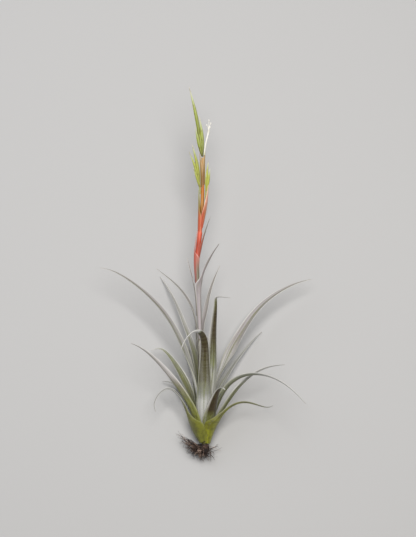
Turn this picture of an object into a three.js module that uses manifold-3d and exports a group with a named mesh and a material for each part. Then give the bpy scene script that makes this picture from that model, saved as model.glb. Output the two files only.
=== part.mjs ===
// Tillandsia elizabethae, an air plant in flower, lifted off its perch and laid on its back on a surface.
// It is one rosette of channelled silver leaves round a short stem. The stem runs on as a flower stalk with
// clasping bracts, carries three green spikes and one open flower, and ends below in a tuft of wiry roots.
//
// Sizes are in millimetres. The plant is modelled in its own frame: x to its right, y up the stem from the
// stem's foot, z towards the side that faces up as it lies. The exported group lays it down in a frame with
// +Z up, in which the stem runs along +Y and rises a little.
import * as THREE from "three";
import { mergeVertices } from "three/addons/utils/BufferGeometryUtils.js";
import Module from "manifold-3d";

const wasm = await Module();
wasm.setup();

// How the plant lies: the stem's rise off the surface, its lean to the left, and where its foot is.
const STEM_RISE_DEG = 12;
const STEM_LEAN_DEG = 2.7;
const FOOT = new THREE.Vector3(-1.1, -156.1, 13);

// The stem: [height, radius] up its line, and where the flower stalk swings to the right.
const STEM_PROFILE = [
  [-1, 3.2],
  [4, 3.5],
  [15, 3.4],
  [20, 3],
  [25, 2.3],
  [32, 2],
  [60, 1.85],
  [82, 1.6],
  [100, 1.45],
  [150, 1.4],
  [160, 1.4],
  [168, 1.4],
  [176, 1.4],
  [184, 1.38],
  [192, 1.36],
  [200, 1.35],
  [209, 1.3],
  [220, 1.25],
  [235, 1.2],
  [250, 1.1],
  [271, 1],
];
const SWING = { from: 165, by: 12.2, over: 44 };

// What all leaves and bracts share.
const CLASP_RAD = 0.9; // most that a sheath wraps to each side of its midrib
const TAPER_POWER = 0.85; // a blade narrows to its tip a little slower than a straight taper
const TIP_HALF_WIDTH = 0.45;
const MARGIN_THICKNESS = 0.62;
const CHANNEL_RAD = [0.6, 1.1]; // half the angle that a blade is rolled through, at its base and its tip
const ROWS = 18;
const COLUMNS = 5;

const radians = (degrees) => THREE.MathUtils.degToRad(degrees);

const MATERIALS = {
  leaf: new THREE.MeshStandardMaterial({ color: 0xa3a192, roughness: 0.75 }),
  stem: new THREE.MeshStandardMaterial({ color: 0xc9654a, roughness: 0.6 }),
  red_bract: new THREE.MeshStandardMaterial({ color: 0xe8806a, roughness: 0.6 }),
  green_bract: new THREE.MeshStandardMaterial({ color: 0xa9b552, roughness: 0.6 }),
  flower: new THREE.MeshStandardMaterial({ color: 0xe9e6d2, roughness: 0.5 }),
  roots: new THREE.MeshStandardMaterial({ color: 0x5b4638, roughness: 0.9 }),
};

// The rosette, outermost leaf first. Azimuth runs from the plant's right towards the side that faces up.
// Each midrib point is [reach from the stem's line, height up the stem, sideways sway].
// Width is the flat width that the blade's taper would have at its root. Sheath is what the leaf's base has
// more than that to each side, sheathEnds is where on its length this fades, and clasp is how far round the
// stem it reaches. Turn rolls the blade about its midrib, over the share of its length given in turns.
// A leaf that rests has its tip on the surface.
const LEAVES = [
  {
    azimuth: 165,
    width: 9,
    sheath: 18,
    sheathEnds: [0.12, 0.38],
    clasp: 1.23,
    turn: -32,
    turns: [0.4, 0.62],
    midrib: [
      [4.5, 0.3], [7.4, 4.8], [10.8, 11], [13.8, 19], [16.2, 28], [18.9, 37],
      [22.8, 45], [28.5, 52], [35.5, 54], [43.5, 48.5], [49, 39.5], [46.8, 32],
    ],
  },
  {
    azimuth: 20,
    width: 13,
    sheath: 16,
    sheathEnds: [0.12, 0.42],
    clasp: 1.2,
    midrib: [
      [4.4, -0.8], [6.6, 5.2], [10.4, 13.5], [15.6, 22], [22.5, 30], [31, 35.6, -3],
      [38, 37, -6], [45, 35.8, -10], [53, 32.3, -14], [59.5, 30.5, -17], [63.2, 32.5, -20],
    ],
  },
  {
    azimuth: 264,
    width: 12,
    midrib: [[4.4, 3.5], [6.4, 8.5], [9.4, 16], [13, 27], [17, 43], [24, 72], [30, 98], [34, 118]],
  },
  {
    azimuth: 152,
    width: 19,
    midrib: [
      [4.4, 4.5], [6, 9], [8.4, 16], [11, 26], [15.3, 37], [24, 50.5],
      [34, 64.5], [45, 77], [56, 88], [67, 95.5], [74, 98.2],
    ],
  },
  {
    azimuth: 11,
    width: 15,
    midrib: [
      [4.4, 5], [6.2, 9], [9.8, 16], [15.2, 25], [21, 32.5], [26.8, 41],
      [34.6, 50.5], [43.6, 59], [54.5, 66], [67.5, 70.3], [80.5, 71],
    ],
  },
  {
    azimuth: 60,
    width: 20,
    clasp: 0.62,
    midrib: [
      [4.4, 8.3], [6.5, 12.5], [9.4, 18], [13.8, 26], [19.3, 35],
      [25, 44], [31, 50.3], [37.5, 52.5], [43, 50],
    ],
  },
  {
    azimuth: 209,
    width: 13,
    clasp: 0.76,
    midrib: [[4.4, 8.5], [6, 13], [8, 20], [11, 30], [15, 40.5], [24, 52], [34, 59.5], [43, 60]],
  },
  {
    azimuth: 25,
    width: 15,
    clasp: 0.8,
    midrib: [
      [4.3, 10.6], [4.8, 14], [7.6, 20], [12.5, 30], [18.6, 42], [26.5, 53],
      [38.5, 60.8], [52, 63.6], [66, 62], [79, 57.2], [93, 48.2], [107, 33.5],
    ],
  },
  {
    azimuth: 284,
    width: 13,
    clasp: 0.75,
    midrib: [[4.4, 12.6], [5.6, 16.8], [8.8, 25], [12.8, 36], [18.6, 59], [24, 80], [30, 101]],
  },
  {
    azimuth: 200,
    width: 17,
    clasp: 0.8,
    turn: -38,
    turns: [0.25, 0.55],
    midrib: [
      [4.3, 15.5], [4.7, 18.5], [6.8, 25], [9.3, 32], [12.6, 43],
      [17.5, 59], [25, 73.5], [33.5, 86.5], [41.5, 92.8], [50.2, 89.8],
    ],
  },
  {
    azimuth: 88,
    width: 19,
    midrib: [
      [4.2, 15.2], [5.4, 19], [8, 26], [11.4, 38, -0.7], [18.4, 62, -2], [24.4, 82, -2.9],
      [31, 97, -3.4], [38, 105, -0.5], [45, 107, 5], [50, 104, 11.4], [53.5, 97, 17.5], [55, 89, 20.5],
    ],
  },
  {
    azimuth: 329,
    rests: true,
    width: 12,
    midrib: [
      [4.3, 17], [5.4, 21], [8.5, 30.5], [12, 40.5], [18.2, 50],
      [25.2, 59], [33.5, 70], [44.5, 81.5], [57.3, 94], [69, 102.8],
    ],
  },
  {
    azimuth: 241,
    width: 14,
    clasp: 0.8,
    midrib: [[4.2, 20.3], [5, 25], [6.8, 31.5], [10.2, 43], [14.8, 60], [19.8, 77], [24.6, 93]],
  },
  {
    azimuth: 55,
    width: 21,
    midrib: [
      [4, 21.5], [5.4, 26], [8.6, 35.5], [13.4, 50], [17.3, 62], [20.2, 79],
      [22.4, 98], [25.6, 115], [29.3, 131], [31, 137, 1.5], [33, 138.6, 1], [44, 136.8, -6.4],
    ],
  },
  {
    azimuth: 180,
    width: 15,
    sheath: 3,
    clasp: 0.82,
    turn: -38,
    turns: [0.16, 0.45],
    midrib: [
      [3.7, 23], [4, 30], [5.2, 42], [7.6, 57], [11.2, 73.5], [15.8, 89],
      [23.6, 108.5], [34.5, 128], [50, 145.5], [66.5, 159.5], [80.5, 168.2], [92, 171],
    ],
  },
  {
    azimuth: 350,
    width: 18.5,
    turn: 27,
    turns: [0.23, 0.41],
    midrib: [
      [3.3, 24.5], [3.9, 29], [5.6, 36.5], [9, 46.5], [15.4, 58.5], [22.8, 72.5], [30.6, 87],
      [39.5, 101.5], [50.3, 117], [63.3, 130.2], [78.7, 140.4], [96, 147.8], [110.5, 150.6],
    ],
  },
  {
    azimuth: 233,
    rests: true,
    width: 10,
    sheath: 3,
    midrib: [
      [2.9, 31], [3, 38], [4, 50], [5.6, 64], [8.8, 81],
      [15.5, 97], [25, 114.5], [33.6, 130], [44.5, 146], [59, 159.5],
    ],
  },
];

// The narrow silver leaves on the flower stalk above the rosette, lowest first. The lower two start as
// tubes round the stalk.
const STALK_LEAVES = [
  {
    azimuth: 325,
    width: 10,
    sheath: 9,
    sheathEnds: [0.32, 0.46],
    clasp: 2.9,
    turn: 45,
    turns: [0.5, 0.7],
    midrib: [
      [2.9, 48], [2.9, 62], [2.9, 76], [2.95, 90], [3.2, 101],
      [4.4, 110], [6.6, 119], [9.3, 130], [13, 142], [19, 155], [27, 167.5],
    ],
  },
  {
    azimuth: 35,
    width: 7,
    sheath: 7,
    sheathEnds: [0.47, 0.64],
    clasp: 1.8,
    turn: -42,
    turns: [0.6, 0.8],
    midrib: [
      [1.95, 99], [1.95, 106], [2.15, 115], [2.35, 126], [2.5, 138],
      [3, 147], [5.2, 157], [10.5, 168], [17, 179], [24, 188.5],
    ],
  },
  {
    azimuth: 176,
    width: 6,
    clasp: 0.55,
    turn: -48,
    turns: [0.3, 0.55],
    midrib: [[1.95, 92], [2.05, 101], [2.9, 111], [4.4, 120], [7.6, 133.5], [18.8, 151], [38.5, 167.5]],
  },
  {
    azimuth: 172,
    width: 6,
    clasp: 0.5,
    turn: -45,
    turns: [0.5, 0.75],
    midrib: [[2.3, 121], [2.4, 131], [2.6, 141], [3.6, 150], [5.6, 160], [9.6, 176.5]],
  },
];

// The stalk's red bracts, lowest first, each a tube round the stalk below its free tip, and then the bracts
// under the spikes. Roll is half the angle that a bract is rolled through beyond its tube.
const STALK_BRACTS = [
  {
    azimuth: 185,
    width: 7,
    sheath: 7,
    sheathEnds: [0.45, 0.66],
    clasp: 2.7,
    roll: 0.8,
    midrib: [[2, 150], [2.2, 158], [2.45, 166], [2.9, 174], [3.3, 183], [3.3, 192], [2.8, 201.5]],
  },
  {
    azimuth: 12,
    width: 6,
    sheath: 4,
    sheathEnds: [0.2, 0.4],
    clasp: 1.1,
    roll: 1.1,
    midrib: [[3.1, 178], [3.3, 183], [3.7, 190], [4.6, 197.5], [6.1, 205.5], [8.5, 214.5]],
  },
  {
    azimuth: 95,
    width: 9,
    sheath: 6,
    sheathEnds: [0.5, 0.8],
    clasp: 2.2,
    midrib: [[1.9, 178], [1.95, 186], [2, 193], [2.05, 200], [2.15, 208.5]],
  },
];
const BRANCH_BRACTS = [
  {
    azimuth: 194,
    width: 8,
    sheath: 4,
    sheathEnds: [0.3, 0.6],
    clasp: 1.5,
    roll: 1.2,
    midrib: [[2.9, 203], [3, 210], [3.1, 218], [3.2, 226], [3.4, 233], [3.6, 240.5]],
  },
  {
    azimuth: 14,
    width: 11,
    clasp: 1.2,
    roll: 1.5,
    midrib: [[2.9, 209], [3.2, 214], [4, 220], [5, 227], [5.7, 235.5], [5.8, 245]],
  },
  {
    azimuth: 166,
    width: 9,
    sheath: 2,
    sheathEnds: [0.3, 0.9],
    clasp: 1.27,
    roll: 1.2,
    midrib: [[1.8, 243], [1.9, 250], [2.1, 258], [2.4, 266], [2.6, 275.5]],
  },
  {
    azimuth: 14,
    width: 9,
    sheath: 2,
    sheathEnds: [0.3, 0.9],
    clasp: 1.27,
    roll: 1.2,
    midrib: [[1.8, 245], [1.85, 252], [1.95, 261], [2.2, 270], [3, 279.5]],
  },
];

// The three spikes. Each has an axis, and bracts given by [half width, root, belly, tip].
const AXIS_SHAPE = [[0, 0.8], [0.25, 1], [0.6, 0.8], [0.9, 0.4], [1, 0.15]];
const BRACT_SHAPE = [[0, 0.45, 0.4], [0.2, 0.85, 0.6], [0.45, 1, 0.62], [0.75, 0.6, 0.42], [1, 0.14, 0.14]];
const SPIKES = [
  {
    name: "spike_left",
    axis: [[6.8, 236.5, 0.2], [6.4, 246, 0.8], [5.6, 256, 1], [4.4, 268, 1]],
    axisRadius: 0.75,
    bracts: [
      [1.3, [6, 248, 1], [5.9, 267, 1.2], [0.9, 284.5, 0.9]],
      [1.1, [5.6, 248, 0.9], [3.4, 263, 0.7], [-2.2, 277.5, 0.5]],
      [1, [6.2, 243, 1.1], [4.4, 253, 1.5], [0.9, 262, 1.5]],
      [1.1, [6.3, 244, 0.6], [6.6, 257, 0.8], [5.9, 270, 0.6]],
    ],
  },
  {
    name: "spike_right",
    axis: [[11.4, 229, -0.4], [11.8, 236, 0], [12.7, 245, 0.5], [13.9, 255, 0.8]],
    axisRadius: 0.7,
    bracts: [
      [1.1, [12.3, 239, 0.5], [13.3, 255, 0.8], [15.9, 268, 1]],
      [1.1, [12.5, 239, 0.5], [15, 249, 0.7], [17, 260.3, 0.9]],
      [1, [12.1, 238, 0.7], [12.4, 249, 1.2], [13.4, 259, 1.2]],
    ],
  },
  {
    name: "spike_top",
    axis: [[10.7, 271.8, 0], [10.1, 280, 0.2], [8.9, 292, 0.3], [7, 306, 0.3], [4.9, 318, 0.2]],
    axisRadius: 1,
    bracts: [
      [1.45, [8.8, 284, 0.2], [7.2, 310, 0.4], [0.8, 338.8, 0.2]],
      [1.3, [10.2, 272, 0.3], [6.9, 287, 0.7], [4.9, 301, 0.8]],
      [1.5, [10.4, 272, 0.2], [12, 290, 0.3], [9.2, 311, 0.5]],
      [1.3, [10.2, 272, 0], [9.4, 284, -0.4], [8.4, 298, -0.4]],
    ],
  },
];

const FLOWER = {
  tube: [[12.3, 273, 2.9], [12.9, 279, 3.4], [14.8, 287, 4], [17.7, 296.5, 4.2]],
  tubeShape: [[0, 0.8], [0.4, 0.9], [0.8, 1], [1, 1.1]],
  stamens: [[18.9, 299.5, 4], [18.2, 306, 4.8], [16, 301.5, 5.4], [19.8, 303, 3.6]],
  filamentShape: [[0, 0.38], [0.5, 0.35], [1, 0.33]],
  anther: 0.75,
};

const ROOTS = {
  seed: 37,
  count: 25,
  headingsDeg: [-204, 6],
  lengths: [11, 22],
  radii: [0.38, 0.6],
  bends: 5,
  wander: 2.4,
  flatten: 0.65,
  leftRise: 0.5,
  shape: [[0, 1.2], [0.2, 1.1], [0.38, 1], [0.54, 0.9], [0.7, 0.85], [0.85, 0.75], [1, 0.5]],
  neckShape: [[0, 3.1], [0.4, 4.2], [1, 3]],
  crownHalfSizes: [7.5, 4.3, 7.5],
  crownCentre: [-5.5, -5, -6],
};
const STEM_SIDES = 10;
const THIN_LEAF = { thickness: 0.7, rows: 17, columns: 9 };
const BRACT = { thickness: 0.65, rows: 12, columns: 9 };

// The stem's line at a height: straight up, then swung smoothly to the right.
function stemLine(height) {
  const past = Math.max(height - SWING.from, 0);
  return new THREE.Vector3((SWING.by * past ** 2) / (past ** 2 + SWING.over ** 2), height, 0);
}

// A smooth curve that meets its two end points and is drawn towards the others: a uniform cubic B-spline.
class SoftCurve extends THREE.Curve {
  constructor(points) {
    super();
    const before = points[0].clone().multiplyScalar(2).sub(points[1]);
    const after = points.at(-1).clone().multiplyScalar(2).sub(points.at(-2));
    this.pulls = [before, ...points, after];
  }

  getPoint(t, target = new THREE.Vector3()) {
    const spans = this.pulls.length - 3;
    const span = Math.min(Math.floor(t * spans), spans - 1);
    const f = t * spans - span;
    const weights = [
      (1 - f) ** 3,
      3 * f ** 3 - 6 * f ** 2 + 4,
      -3 * f ** 3 + 3 * f ** 2 + 3 * f + 1,
      f ** 3,
    ];
    target.set(0, 0, 0);
    weights.forEach((weight, i) => target.addScaledVector(this.pulls[span + i], weight / 6));
    return target;
  }
}

const curveThrough = (points) => new SoftCurve(points.map((point) => new THREE.Vector3(...point)));

// Points along a curve, each with its tangent and a normal carried along without twist from the first.
function framesAlong(curve, fractions, firstNormal) {
  const STEPS_BETWEEN = 8;
  const normal = firstNormal.clone();
  let from = fractions[0];
  return fractions.map((to) => {
    for (let step = 1; step <= STEPS_BETWEEN; step += 1) {
      const tangent = curve.getTangentAt(from + ((to - from) * step) / STEPS_BETWEEN);
      normal.addScaledVector(tangent, -normal.dot(tangent)).normalize();
    }
    from = to;
    return { at: curve.getPointAt(to), tangent: curve.getTangentAt(to), normal: normal.clone() };
  });
}

// A closed thin solid between two grids of points, split into triangles alike on both faces.
function sheetGeometry(upper, lower) {
  const rows = upper.length;
  const columns = upper[0].length;
  const points = [...upper.flat(), ...lower.flat()];
  const top = (i, j) => i * columns + j;
  const under = (i, j) => (rows + i) * columns + j;
  const faces = [];
  const quad = (a, b, c, d) => faces.push(a, b, c, a, c, d);
  for (let i = 0; i + 1 < rows; i += 1) {
    for (let j = 0; j + 1 < columns; j += 1) {
      quad(top(i, j), top(i + 1, j), top(i + 1, j + 1), top(i, j + 1));
      faces.push(under(i, j), under(i + 1, j + 1), under(i + 1, j));
      faces.push(under(i, j), under(i, j + 1), under(i + 1, j + 1));
    }
    quad(under(i, 0), under(i + 1, 0), top(i + 1, 0), top(i, 0));
    const last = columns - 1;
    quad(top(i, last), top(i + 1, last), under(i + 1, last), under(i, last));
  }
  for (let j = 0; j + 1 < columns; j += 1) {
    quad(top(0, j), top(0, j + 1), under(0, j + 1), under(0, j));
    quad(under(rows - 1, j), under(rows - 1, j + 1), top(rows - 1, j + 1), top(rows - 1, j));
  }
  return new THREE.BufferGeometry().setFromPoints(points).setIndex(faces);
}

// A leaf or bract. It wraps the stem concentrically at its sheath, so that the leaves nest one in another,
// and further out is a channel that narrows and rolls up towards its tip.
function leafGeometry({
  azimuth,
  width,
  midrib,
  sheath = 0,
  sheathEnds = [0.06, 0.38],
  clasp = CLASP_RAD,
  turn = 0,
  turns = [0.35, 0.8],
  roll,
  thickness = 1.1,
  rows = ROWS,
  columns = COLUMNS,
}) {
  const out = new THREE.Vector3(Math.cos(radians(azimuth)), 0, Math.sin(radians(azimuth)));
  const side = new THREE.Vector3(-out.z, 0, out.x);
  const points = midrib.map(([reach, height, sway = 0]) =>
    stemLine(height).addScaledVector(out, reach).addScaledVector(side, sway),
  );
  const ROW_CROWDING = 1.25; // rows stand closer together at the sheath
  const fractions = Array.from({ length: rows }, (_, i) => (i / (rows - 1)) ** ROW_CROWDING);
  const upper = [];
  const lower = [];
  const frames = framesAlong(new SoftCurve(points), fractions, out.clone().negate());
  frames.forEach(({ at, tangent, normal }, row) => {
    const s = fractions[row];
    const rolled = radians(turn) * THREE.MathUtils.smoothstep(s, ...turns);
    const inward = normal.clone().applyAxisAngle(tangent, rolled);
    const across = new THREE.Vector3().crossVectors(inward, tangent);
    const shell = Math.max(tangent.y, 0) / Math.hypot(at.x - stemLine(at.y).x, at.z);
    const flare = sheath * (1 - THREE.MathUtils.smoothstep(s, ...sheathEnds));
    const free = (width / 2) * (1 - s) ** TAPER_POWER + TIP_HALF_WIDTH + flare;
    const half = (free ** -6 + (shell / clasp) ** 6) ** (-1 / 6);
    const curl = Math.max(shell, (roll ?? THREE.MathUtils.lerp(...CHANNEL_RAD, s)) / half);
    const middle = THREE.MathUtils.lerp(thickness, MARGIN_THICKNESS + 0.1, s);
    upper.push([]);
    lower.push([]);
    for (let column = 0; column < columns; column += 1) {
      const t = (2 * column) / (columns - 1) - 1;
      const angle = t * half * curl;
      const centre = at
        .clone()
        .addScaledVector(across, Math.sin(angle) / curl)
        .addScaledVector(inward, (1 - Math.cos(angle)) / curl);
      const facing = inward.clone().multiplyScalar(Math.cos(angle)).addScaledVector(across, -Math.sin(angle));
      const skin = (MARGIN_THICKNESS + (middle - MARGIN_THICKNESS) * (1 - t ** 2)) / 2;
      upper[row].push(centre.clone().addScaledVector(facing, skin));
      lower[row].push(centre.clone().addScaledVector(facing, -skin));
    }
  });
  return sheetGeometry(upper, lower);
}

// A closed tube with a flat end at each end. Its section is an ellipse of half width and half depth.
function tubeGeometry(curve, sizes, sides, firstNormal = new THREE.Vector3(0, 0, 1)) {
  const fractions = sizes.map(([fraction]) => fraction);
  const points = [];
  const faces = [];
  framesAlong(curve, fractions, firstNormal).forEach(({ at, tangent, normal }, i) => {
    const across = new THREE.Vector3().crossVectors(tangent, normal);
    const [, halfWidth, halfDepth = halfWidth] = sizes[i];
    for (let k = 0; k < sides; k += 1) {
      const angle = (2 * Math.PI * k) / sides;
      points.push(
        at
          .clone()
          .addScaledVector(across, halfWidth * Math.sin(angle))
          .addScaledVector(normal, halfDepth * Math.cos(angle)),
      );
    }
  });
  const rings = sizes.length;
  for (let i = 0; i + 1 < rings; i += 1) {
    for (let k = 0; k < sides; k += 1) {
      const a = i * sides + k;
      const b = i * sides + ((k + 1) % sides);
      faces.push(a, b, b + sides, a, b + sides, a + sides);
    }
  }
  for (let k = 1; k + 1 < sides; k += 1) {
    faces.push(0, k + 1, k);
    const end = (rings - 1) * sides;
    faces.push(end, end + k, end + k + 1);
  }
  return new THREE.BufferGeometry().setFromPoints(points).setIndex(faces);
}

// Joins and cuts go through these two.
function solidOf(geometry) {
  const bare = geometry.clone();
  bare.deleteAttribute("normal");
  bare.deleteAttribute("uv");
  const merged = mergeVertices(bare);
  return new wasm.Manifold(
    new wasm.Mesh({
      numProp: 3,
      vertProperties: new Float32Array(merged.getAttribute("position").array),
      triVerts: new Uint32Array(merged.index.array),
    }),
  );
}
function geometryOf(solid) {
  const mesh = solid.getMesh();
  return new THREE.BufferGeometry()
    .setAttribute("position", new THREE.BufferAttribute(new Float32Array(mesh.vertProperties), 3))
    .setIndex(new THREE.BufferAttribute(new Uint32Array(mesh.triVerts), 1));
}

// The plant lies in this group, and what touches the surface is cut flat there.
const plant = new THREE.Group();
plant.rotation.set(radians(STEM_RISE_DEG), 0, radians(STEM_LEAN_DEG));
plant.position.copy(FOOT);
plant.updateMatrixWorld(true);
const SLAB = 700;
const surface = solidOf(
  new THREE.BoxGeometry(SLAB, SLAB, SLAB, 1, 1, 1)
    .translate(0, 0, -SLAB / 2)
    .applyMatrix4(plant.matrixWorld.clone().invert()),
);

// Roots do not dip below this depth, which is just clear of the surface.
function lowestDepth(height, clearance) {
  const rise = radians(STEM_RISE_DEG);
  return (clearance - FOOT.z - height * Math.sin(rise)) / Math.cos(rise);
}

// A small repeatable source of numbers from 0 to 1.
function seededNumbers(seed) {
  let state = seed;
  return () => {
    state = (state * 1664525 + 1013904223) % 4294967296;
    return state / 4294967296;
  };
}

// The largest body of what was joined, with any sealed hollow filled.
const filled = (solid) =>
  solid.decompose().reduce((largest, body) => (body.volume() > largest.volume() ? body : largest));

// The stem, from its foot to the tip of the stalk.
function stemGeometry() {
  const [bottom] = STEM_PROFILE[0];
  const [top] = STEM_PROFILE.at(-1);
  const LINE_POINTS = 24;
  const heights = Array.from({ length: LINE_POINTS }, (_, i) =>
    THREE.MathUtils.lerp(bottom, top, i / (LINE_POINTS - 1)),
  );
  const line = new THREE.CatmullRomCurve3(heights.map(stemLine));
  const sizes = STEM_PROFILE.map(([height, radius]) => [(height - bottom) / (top - bottom), radius]);
  return tubeGeometry(line, sizes, STEM_SIDES);
}

// A spike: a thin axis with boat-shaped bracts that lean off it to either side, all grown together.
function spikeGeometry({ axis, axisRadius, bracts }) {
  const rod = AXIS_SHAPE.map(([s, r]) => [s, r * axisRadius]);
  let solid = solidOf(tubeGeometry(curveThrough(axis), rod, 6));
  for (const [halfWidth, ...points] of bracts) {
    const boat = BRACT_SHAPE.map(([s, w, d]) => [s, w * halfWidth, d * halfWidth]);
    solid = solid.add(solidOf(tubeGeometry(curveThrough(points), boat, 8)));
  }
  return geometryOf(filled(solid));
}

// The open flower: a slender tube of three petals, with its stamens curling out of the mouth.
function flowerGeometry() {
  const tube = curveThrough(FLOWER.tube);
  let solid = solidOf(tubeGeometry(tube, FLOWER.tubeShape, 8));
  const mouth = tube.getPointAt(1);
  const inside = tube.getPointAt(0.75);
  for (const [x, y, z] of FLOWER.stamens) {
    const tip = new THREE.Vector3(x, y, z);
    const bend = mouth.clone().lerp(tip, 0.5).add(new THREE.Vector3(0, 1.5, 0));
    const filament = new SoftCurve([inside, mouth, bend, tip]);
    solid = solid
      .add(solidOf(tubeGeometry(filament, FLOWER.filamentShape, 5)))
      .add(solidOf(new THREE.SphereGeometry(FLOWER.anther, 6, 4).scale(0.7, 1.3, 0.7).translate(x, y, z)));
  }
  return geometryOf(solid);
}

// The tuft of roots: wiry roots that start deep in a small woody crown, spread to both sides and droop.
function rootsGeometry() {
  const number = seededNumbers(ROOTS.seed);
  const between = (low, high) => low + (high - low) * number();
  const strays = () => between(-ROOTS.wander, ROOTS.wander);
  const neck = new THREE.CatmullRomCurve3([stemLine(-1.3), stemLine(-5), stemLine(-9)]);
  const crown = new THREE.SphereGeometry(1, 12, 8)
    .scale(...ROOTS.crownHalfSizes)
    .translate(...ROOTS.crownCentre);
  let solid = solidOf(tubeGeometry(neck, ROOTS.neckShape, 8)).add(solidOf(crown));
  const [crownX] = ROOTS.crownCentre;
  for (let i = 0; i < ROOTS.count; i += 1) {
    const heading = radians(between(...ROOTS.headingsDeg));
    const length = between(...ROOTS.lengths);
    const radius = between(...ROOTS.radii);
    const depth = between(-5, 3);
    const points = [new THREE.Vector3(crownX + 2, -6, depth)];
    for (let k = 1; k <= ROOTS.bends; k += 1) {
      const reach = (length * k) / ROOTS.bends;
      const x = crownX + reach * Math.cos(heading) + strays();
      const rise = ROOTS.leftRise * Math.max(crownX - x, 0);
      const y = -4 + ROOTS.flatten * reach * Math.sin(heading) + rise + strays();
      const z = depth + strays() * (1 + k / 2);
      points.push(new THREE.Vector3(x, y, Math.max(z, lowestDepth(y, radius + 0.4))));
    }
    const wire = ROOTS.shape.map(([s, r]) => [s, r * radius]);
    solid = solid.add(solidOf(tubeGeometry(new SoftCurve(points), wire, 4)));
  }
  return geometryOf(filled(solid.subtract(surface)));
}

function add(name, material, geometry) {
  const mesh = new THREE.Mesh(geometry, MATERIALS[material]);
  mesh.name = name;
  plant.add(mesh);
}

const numbered = (name, i) => `${name}_${String(i + 1).padStart(2, "0")}`;
const trimmed = (geometry) => geometryOf(solidOf(geometry).subtract(surface));

add("stem", "stem", stemGeometry());
LEAVES.forEach((leaf, i) => {
  const geometry = leafGeometry(leaf);
  add(numbered("leaf", i), "leaf", leaf.rests ? trimmed(geometry) : geometry);
});
STALK_LEAVES.forEach((leaf, i) => {
  add(numbered("stalk_leaf", i), "leaf", leafGeometry({ ...leaf, ...THIN_LEAF }));
});
STALK_BRACTS.forEach((bract, i) => {
  add(numbered("stalk_bract", i), "red_bract", leafGeometry({ ...bract, ...BRACT }));
});
BRANCH_BRACTS.forEach((bract, i) => {
  add(numbered("branch_bract", i), "red_bract", leafGeometry({ ...bract, ...BRACT }));
});
SPIKES.forEach(({ name, ...spike }) => add(name, "green_bract", spikeGeometry(spike)));
add("flower", "flower", flowerGeometry());
add("roots", "roots", rootsGeometry());

export default plant;
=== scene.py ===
# Tillandsia elizabethae, an air plant in flower, lying on its back on a plain pale floor.
#
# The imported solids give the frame. Each is replaced by a finer piece that follows the same form: the
# rosette's silver leaves, the flower stalk with its leaves and bracts, the green spikes, the open flower and
# the roots.
import math

import bpy
import numpy as np
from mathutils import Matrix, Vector


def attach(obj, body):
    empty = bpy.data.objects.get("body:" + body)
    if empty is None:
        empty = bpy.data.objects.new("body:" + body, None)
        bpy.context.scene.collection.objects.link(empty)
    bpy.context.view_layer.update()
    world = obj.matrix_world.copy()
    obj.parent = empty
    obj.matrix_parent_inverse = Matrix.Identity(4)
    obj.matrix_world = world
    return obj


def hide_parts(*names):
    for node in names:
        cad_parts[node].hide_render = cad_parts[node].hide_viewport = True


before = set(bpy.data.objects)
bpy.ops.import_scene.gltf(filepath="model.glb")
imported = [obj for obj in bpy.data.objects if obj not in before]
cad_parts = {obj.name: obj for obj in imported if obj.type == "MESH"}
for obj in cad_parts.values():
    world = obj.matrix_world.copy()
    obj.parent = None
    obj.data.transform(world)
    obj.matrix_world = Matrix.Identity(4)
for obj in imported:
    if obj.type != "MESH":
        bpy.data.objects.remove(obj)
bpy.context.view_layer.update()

# The view
# The plant lies on a plain pale floor under soft studio lights. The camera looks down on it, square to the
# stem, through a long lens.
STEM_RISE = math.radians(12)
STEM_LEAN = math.radians(2.7)
FOOT_M = np.array([-0.0011, -0.1561, 0.013])
MM_PER_PIXEL = 0.95
IMAGE_PX = np.array([416, 537])
FOOT_PX = np.array([205, 443])
LENS_MM = 500
SENSOR_MM = 36
FLOOR_HALF_M = 8
FLOOR_BELOW_M = 0.0002
SURROUND_STRENGTH = 0.24


def linear(hex_code):
    """A colour's linear values from its sRGB hex value."""
    srgb = np.array([int(hex_code[i : i + 2], 16) for i in (1, 3, 5)]) / 255
    return (*np.where(srgb <= 0.04045, srgb / 12.92, ((srgb + 0.055) / 1.055) ** 2.4), 1.0)


def add_node(tree, kind, inputs=(), stops=(), **settings):
    """Adds one shader node: settings go on the node, stops on its ramp, and each input gets a value or a
    link. A link comes from a socket, or from a node's first output in use."""
    made = tree.nodes.new(f"ShaderNode{kind}")
    for name, value in settings.items():
        setattr(made, name, value)
    for name, value in dict(inputs).items():
        if isinstance(value, bpy.types.Node):
            value = next(output for output in value.outputs if output.enabled)
        if isinstance(value, bpy.types.NodeSocket):
            tree.links.new(value, made.inputs[name])
        else:
            made.inputs[name].default_value = value
    for i, (place, colour) in enumerate(stops):
        element = made.color_ramp.elements[i] if i < 2 else made.color_ramp.elements.new(place)
        element.position = place
        element.color = linear(colour)
    return made


def new_material(name, **shader_values):
    """A node material: its tree and its shader, with plain values set on the shader's own sockets."""
    material = bpy.data.materials.new(name)
    material.use_nodes = True
    shader = material.node_tree.nodes["Principled BSDF"]
    for socket, value in shader_values.items():
        shader.inputs[socket.replace("_", " ")].default_value = value
    return material, material.node_tree, shader


def add_light(name, place, size, watts, colour):
    """A square soft light, aimed at the middle of the plant."""
    light = bpy.data.lights.new(name, "AREA")
    light.size = size
    light.energy = watts
    light.color = linear(colour)[:3]
    lamp = bpy.data.objects.new(name, light)
    bpy.context.collection.objects.link(lamp)
    lamp.location = place
    lamp.rotation_euler = Vector(place).to_track_quat("Z", "Y").to_euler()


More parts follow.
